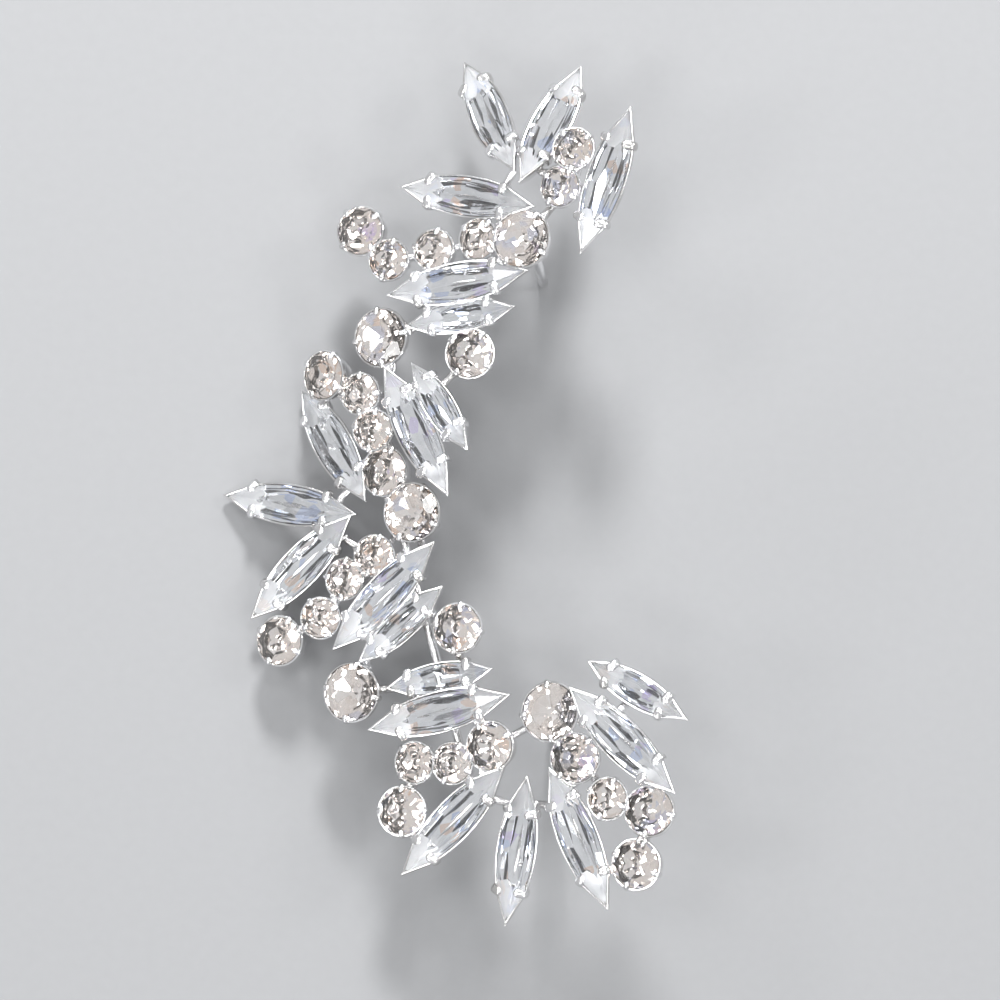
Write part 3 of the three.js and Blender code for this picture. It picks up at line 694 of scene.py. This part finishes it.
def plating_group():
    """Bright plating: slight waves, and a little tarnish in random patches"""
    group, into, out = new_group(
        "plating",
        [("Wave Size", "NodeSocketFloat", 900.0), ("Roughness", "NodeSocketFloat", 0.12),
         ("Spread", "NodeSocketFloat", 0.1), ("Bright", "NodeSocketColor", (0.9, 0.9, 0.91, 1)),
         ("Dull", "NodeSocketColor", (0.62, 0.6, 0.58, 1))],
        [("Color", "NodeSocketColor"), ("Roughness", "NodeSocketFloat"),
         ("Height", "NodeSocketFloat")])
    nodes, link = group.nodes, group.links.new
    place = nodes.new("ShaderNodeTexCoord")
    waves = nodes.new("ShaderNodeTexNoise")
    waves.inputs["Detail"].default_value = 4
    link(place.outputs["Object"], waves.inputs["Vector"])
    link(into.outputs["Wave Size"], waves.inputs["Scale"])
    patches = nodes.new("ShaderNodeTexNoise")
    patches.inputs["Scale"].default_value = 260
    patches.inputs["Detail"].default_value = 6
    link(place.outputs["Object"], patches.inputs["Vector"])
    ramp = nodes.new("ShaderNodeValToRGB")
    ramp.color_ramp.elements[0].position = 0.36
    ramp.color_ramp.elements[1].position = 0.6
    link(patches.outputs["Fac"], ramp.inputs["Fac"])
    tint = nodes.new("ShaderNodeMix")
    tint.data_type = "RGBA"
    link(ramp.outputs["Color"], tint.inputs["Factor"])
    link(into.outputs["Dull"], tint.inputs[MIX_A])
    link(into.outputs["Bright"], tint.inputs[MIX_B])
    spread = nodes.new("ShaderNodeMath")
    spread.operation = "MULTIPLY_ADD"
    link(waves.outputs["Fac"], spread.inputs[0])
    link(into.outputs["Spread"], spread.inputs[1])
    link(into.outputs["Roughness"], spread.inputs[2])
    link(tint.outputs[MIX_RESULT], out.inputs["Color"])
    link(spread.outputs[0], out.inputs["Roughness"])
    link(waves.outputs["Fac"], out.inputs["Height"])
    return group


def group_node(tree, group, **values):
    """A node that holds a group, with its inputs set by name"""
    node = tree.nodes.new("ShaderNodeGroup")
    node.node_tree = group
    for label, value in values.items():
        node.inputs[label].default_value = value
    return node


def plated(name, bright, dull, roughness, bump):
    """Bright metal with slight waves under its plating"""
    material, tree, principled = shader(name)
    node = group_node(tree, PLATING, Bright=(*bright, 1), Dull=(*dull, 1), Roughness=roughness)
    raised = tree.nodes.new("ShaderNodeBump")
    raised.inputs["Strength"].default_value = bump
    raised.inputs["Distance"].default_value = PLATING_RELIEF
    tree.links.new(node.outputs["Height"], raised.inputs["Height"])
    tree.links.new(raised.outputs["Normal"], principled.inputs["Normal"])
    tree.links.new(node.outputs["Color"], principled.inputs["Base Color"])
    tree.links.new(node.outputs["Roughness"], principled.inputs["Roughness"])
    principled.inputs["Metallic"].default_value = 1
    return material


def painted_fire_group():
    """Painted fire: a foil colour that goes between a tint and a darker shade colour in random
    cells, with a few small cells of blue, violet and orange painted in as coloured glints"""
    group, into, out = new_group(
        "stone_fire",
        [("Tint", "NodeSocketColor", (0.9, 0.92, 0.96, 1)),
         ("Shade", "NodeSocketColor", (0.6, 0.62, 0.68, 1)),
         ("Fire", "NodeSocketFloat", 0.6), ("Size", "NodeSocketFloat", 700.0)],
        [("Color", "NodeSocketColor")])
    nodes, link = group.nodes, group.links.new
    place = nodes.new("ShaderNodeTexCoord")
    cells = nodes.new("ShaderNodeTexVoronoi")
    link(place.outputs["Object"], cells.inputs["Vector"])
    link(into.outputs["Size"], cells.inputs["Scale"])
    hue = nodes.new("ShaderNodeSeparateColor")
    link(cells.outputs["Color"], hue.inputs["Color"])
    ramp = nodes.new("ShaderNodeValToRGB")
    ramp.color_ramp.interpolation = "CONSTANT"
    ramp.color_ramp.elements.remove(ramp.color_ramp.elements[1])
    ramp.color_ramp.elements[0].color = (1, 1, 1, 1)
    # Painted coloured glints: rare blue, orange and violet cells, white elsewhere
    for position, colour in PAINTED_FIRE_STOPS:
        ramp.color_ramp.elements.new(position).color = (*colour, 1)
    link(hue.outputs["Red"], ramp.inputs["Fac"])
    body = nodes.new("ShaderNodeMix")
    body.data_type = "RGBA"
    link(hue.outputs["Green"], body.inputs["Factor"])
    link(into.outputs["Shade"], body.inputs[MIX_A])
    link(into.outputs["Tint"], body.inputs[MIX_B])
    # Multiplies the painted glint colours into the foil's colour
    painted_flash = nodes.new("ShaderNodeMix")
    painted_flash.data_type = "RGBA"
    painted_flash.blend_type = "MULTIPLY"
    link(into.outputs["Fire"], painted_flash.inputs["Factor"])
    link(body.outputs[MIX_RESULT], painted_flash.inputs[MIX_A])
    link(ramp.outputs["Color"], painted_flash.inputs[MIX_B])
    link(painted_flash.outputs[MIX_RESULT], out.inputs["Color"])
    return group


def foil(name, tint, shade, painted_fire_amount, roughness=0.02, metallic=FOIL_METALLIC):
    """The mirror foil behind a stone, with painted coloured glints (fire) mixed into its colour"""
    material, tree, principled = shader(name)
    node = group_node(tree, PAINTED_FIRE, Tint=(*tint, 1), Shade=(*shade, 1), Fire=painted_fire_amount,
                      Size=PAINTED_FIRE_SIZE)
    tree.links.new(node.outputs["Color"], principled.inputs["Base Color"])
    principled.inputs["Metallic"].default_value = metallic
    principled.inputs["Roughness"].default_value = roughness
    return material


def crystal(name, tint):
    """Clear polished crystal with a faint polish haze"""
    material, tree, principled = shader(name)
    place = tree.nodes.new("ShaderNodeTexCoord")
    haze = tree.nodes.new("ShaderNodeTexNoise")
    haze.inputs["Scale"].default_value = 1400
    haze.inputs["Detail"].default_value = 5
    tree.links.new(place.outputs["Object"], haze.inputs["Vector"])
    span = tree.nodes.new("ShaderNodeMapRange")
    span.inputs["From Min"].default_value = 0.5
    span.inputs["From Max"].default_value = 0.8
    span.inputs["To Min"].default_value = 0.0
    span.inputs["To Max"].default_value = 0.012
    tree.links.new(haze.outputs["Fac"], span.inputs["Value"])
    tree.links.new(span.outputs["Result"], principled.inputs["Roughness"])
    principled.inputs["Base Color"].default_value = (*tint, 1)
    principled.inputs["Transmission Weight"].default_value = 1
    principled.inputs["IOR"].default_value = CRYSTAL_IOR
    return material


def floor_material():
    """Pale matte board with a faint grain"""
    material, tree, principled = shader("pale_board")
    place = tree.nodes.new("ShaderNodeTexCoord")
    grain = tree.nodes.new("ShaderNodeTexNoise")
    grain.inputs["Scale"].default_value = 900
    grain.inputs["Detail"].default_value = 3
    tree.links.new(place.outputs["Object"], grain.inputs["Vector"])
    ramp = tree.nodes.new("ShaderNodeValToRGB")
    ramp.color_ramp.elements[0].color = (0.245, 0.248, 0.254, 1)
    ramp.color_ramp.elements[1].color = (0.26, 0.263, 0.27, 1)
    tree.links.new(grain.outputs["Fac"], ramp.inputs["Fac"])
    tree.links.new(ramp.outputs["Color"], principled.inputs["Base Color"])
    principled.inputs["Roughness"].default_value = 0.85
    return material


PLATING = plating_group()
# Painted fire: coloured glints painted into the foils' colours
PAINTED_FIRE = painted_fire_group()
SILVER = plated("silver_plate", (0.92, 0.92, 0.93), (0.66, 0.65, 0.64), 0.08, 0.25)
CLAW_SILVER = plated("claw_silver", (0.86, 0.86, 0.87), (0.62, 0.61, 0.6), 0.15, 0.5)
SOLDER = plated("silver_solder", (0.88, 0.88, 0.89), (0.56, 0.55, 0.54), 0.16, 0.6)
# Each foil's fourth number is how strongly the painted coloured glints show in it
NAVETTE_FOIL = foil("navette_foil", (0.985, 0.99, 1.0), (0.9, 0.91, 0.93), 0.36)
ROUND_FOIL = foil("round_foil", (1.0, 0.98, 0.965), (0.965, 0.915, 0.88), 0.3)
TIP_FOIL = foil("navette_tip_foil", (0.98, 0.98, 0.985), (0.92, 0.925, 0.935), 0.1,
                roughness=0.5, metallic=TIP_FOIL_METALLIC)
NAVETTE_CRYSTAL = crystal("navette_crystal", (0.985, 0.99, 1.0))
ROUND_CRYSTAL = crystal("round_crystal", (1.0, 0.985, 0.975))
GLASSES = {"round": (ROUND_CRYSTAL, ROUND_FOIL),
           "navette": (NAVETTE_CRYSTAL, NAVETTE_FOIL, TIP_FOIL)}


def set_stone(stone, cuts, settings):
    """Makes a stone's piece, and adds its cup and claws to the metal. cuts keeps the shapes of
    each size."""
    is_round = stone["kind"] == "round"
    key = (stone["kind"], stone["a"], stone["b"])
    if key not in cuts:
        cuts[key] = ((cut_round(stone["b"]), round_cup(stone["b"])) if is_round
                     else (cut_navette(*key[1:]), navette_cup(*key[1:])))
    cut, cup = cuts[key]
    matrix = stone["matrix"]
    if is_round:
        matrix = matrix @ Matrix.Rotation(random.uniform(0, math.tau / 4), 4, "Z")
    body = bmesh.new()
    add_into(body, cut, matrix)
    new_piece(body, "cut_" + stone["name"], GLASSES[stone["kind"]], stone["name"])
    add_into(settings, cup, matrix)
    claws = bmesh.new()
    if is_round:
        round_claws(claws, stone)
    else:
        navette_claws(claws, stone)
    add_into(settings, claws, matrix)
    claws.free()


def solder_join(bm, one, other, seed):
    """Joins two cups where they come nearest: a bead of solder if they nearly touch, and a
    bar below it"""
    point = (one["matrix"].translation + other["matrix"].translation) / 2
    for _ in range(NEAREST_ROUNDS):
        near = outline_near(one, point)
        point = outline_near(other, near)
    touching = (near - point).length < BEAD_REACH
    if touching:
        middle = (near + point) / 2 - UP * BEAD_SINK
        solder_bead(bm, middle, random.uniform(*BEAD_SIZES), seed)
        for drop in range(DROPS):
            aside = Vector([random.uniform(-1, 1) for _ in "xyz"]) * DROP_REACH
            solder_bead(bm, middle + aside, random.uniform(*DROP_SIZES), seed + drop,
                        fineness=DROP_FINENESS)
    ends = [outline_near(one, point, BAR_LEVEL, BAR_INSET), outline_near(one, point, BAR_LEVEL),
            outline_near(other, near, BAR_LEVEL), outline_near(other, near, BAR_LEVEL, BAR_INSET)]
    if touching:
        ends = [ends[0], (ends[1] + ends[2]) / 2, ends[3]]
    path = bent(ends, BAR_STEPS)
    least, more = BAR_UNEVEN
    radii = [BAR_RADIUS * (least + more * random.random()) for _ in path]
    drawn_wire(bm, path, radii, flat=BAR_FLAT, metal=SOLDERED)


def below_cup(stone, sink):
    """The point under the middle of a round cup, inside its floor by sink"""
    return stone["matrix"] @ (-UP * (cup_depth(stone["b"]) - sink))


def behind(stone, bearing, reach):
    """A point on the back of a round cup, at a bearing in the plane of the table"""
    matrix, angle = stone["matrix"], math.radians(bearing)
    out_of_table = matrix.col[2].xyz
    way = Vector((math.cos(angle), math.sin(angle), 0))
    way = (way - out_of_table * way.dot(out_of_table)).normalized()
    return matrix.translation + way * stone["b"] * reach - out_of_table * cup_depth(stone["b"])


def add_back_wire(bm, stones):
    """The straight wire behind the lower half"""
    first, last = (behind(stones[name], bearing, reach) for name, bearing, reach in BACK_WIRE)
    path = [first.lerp(last, k / BACK_WIRE_STEPS) for k in range(BACK_WIRE_STEPS + 1)]
    drawn_wire(bm, path, [BACK_WIRE_RADIUS] * len(path))


def add_hook(bm, cup):
    """The ear hook: one Bezier curve from a cup's floor to the ground"""
    top = below_cup(cup, WIRE_SINK)
    foot = Vector((top.x + HOOK_OUTWARD, top.y - HOOK_FORWARD, 0))
    handles = (top, Vector((top.x, top.y + HOOK_FORWARD, top.z / 2)),
               Vector((foot.x, foot.y, top.z / 2)), foot)
    path = []
    for k in range(HOOK_STEPS + 1):
        t = k / HOOK_STEPS
        weights = ((1 - t) ** 3, 3 * t * (1 - t) ** 2, 3 * t * t * (1 - t), t ** 3)
        path.append(sum((h * w for h, w in zip(handles, weights)), Vector()))
    drawn_wire(bm, path, [HOOK_RADIUS] * len(path), sides=THICK_WIRE_SIDES)


def add_post(bm, cup):
    """The lobe post, straight down to the ground, and the pad that holds it to its cup"""
    top = below_cup(cup, WIRE_SINK)
    path = [Vector((top.x, top.y, top.z * (1 - t))) for t, _ in POST_PROFILE]
    radii = [POST_RADIUS * share for _, share in POST_PROFILE]
    drawn_wire(bm, path, radii, sides=THICK_WIRE_SIDES)
    pad = bmesh.new()
    bmesh.ops.create_cone(pad, cap_ends=True, segments=POST_PAD_SIDES, radius1=POST_PAD_RADIUS,
                          radius2=POST_PAD_RADIUS, depth=POST_PAD_THICKNESS)
    corners = [e for e in pad.edges if len(e.link_faces) == 2 and e.calc_face_angle(0) > 1]
    bmesh.ops.bevel(pad, geom=corners, offset=POST_PAD_ROUNDING, segments=2, profile=0.5,
                    affect="EDGES", material=-1)
    place = Matrix.Translation(-UP * cup_depth(cup["b"]))
    add_into(bm, pad, cup["matrix"] @ place)
    pad.free()


stones = {name: seat(node) for name, node in sorted(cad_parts.items())
          if name != "metal_frame"}
cuts = {}
settings = bmesh.new()
for stone in stones.values():
    set_stone(stone, cuts, settings)
for seed, (first, others) in enumerate(JOINS.items()):
    for second in others:
        solder_join(settings, stones[first], stones[second], seed)
add_back_wire(settings, stones)
add_hook(settings, stones[HOOK_CUP])
add_post(settings, stones[POST_CUP])
new_piece(settings, "soldered_settings", (SILVER, SOLDER, CLAW_SILVER), "metal_frame",
          smooth=METAL_SMOOTH)


def soft_light(name, azimuth, elevation, width, height, radiance):
    """A soft box that faces the cuff, at angles in degrees round it"""
    around, up = math.radians(azimuth), math.radians(elevation)
    place = BOX_DISTANCE * Vector((math.cos(around) * math.cos(up),
                                   math.sin(around) * math.cos(up), math.sin(up)))
    data = bpy.data.lights.new(name, "AREA")
    data.shape = "RECTANGLE"
    data.size, data.size_y = width, height
    data.energy = radiance * math.pi * width * height
    lamp = bpy.data.objects.new(name, data)
    lamp.location = place
    lamp.rotation_mode = "QUATERNION"
    lamp.rotation_quaternion = place.to_track_quat("Z", "Y")
    bpy.context.scene.collection.objects.link(lamp)


bm = bmesh.new()
bmesh.ops.create_grid(bm, x_segments=1, y_segments=1, size=FLOOR_HALF)
floor_mesh = bpy.data.meshes.new("floor")
bm.to_mesh(floor_mesh)
bm.free()
floor_mesh.materials.append(floor_material())
floor = bpy.data.objects.new("floor", floor_mesh)
bpy.context.scene.collection.objects.link(floor)

world = bpy.data.worlds.new("studio")
world.use_nodes = True
background = world.node_tree.nodes["Background"]
background.inputs["Color"].default_value = (0.60, 0.605, 0.615, 1)
background.inputs["Strength"].default_value = 1
bpy.context.scene.world = world
bpy.context.scene.view_settings.view_transform = "Standard"

for box in BOXES:
    soft_light(*box)

camera_data = bpy.data.cameras.new("camera")
camera_data.lens = CAMERA_LENS
camera = bpy.data.objects.new("camera", camera_data)
rise = math.radians(CAMERA_ELEVATION)
back = Vector((0, -math.cos(rise), math.sin(rise)))
camera.location = CAMERA_AIM + back * CAMERA_DISTANCE
camera.rotation_mode = "QUATERNION"
camera.rotation_quaternion = back.to_track_quat("Z", "Y")
bpy.context.scene.collection.objects.link(camera)
bpy.context.scene.camera = camera
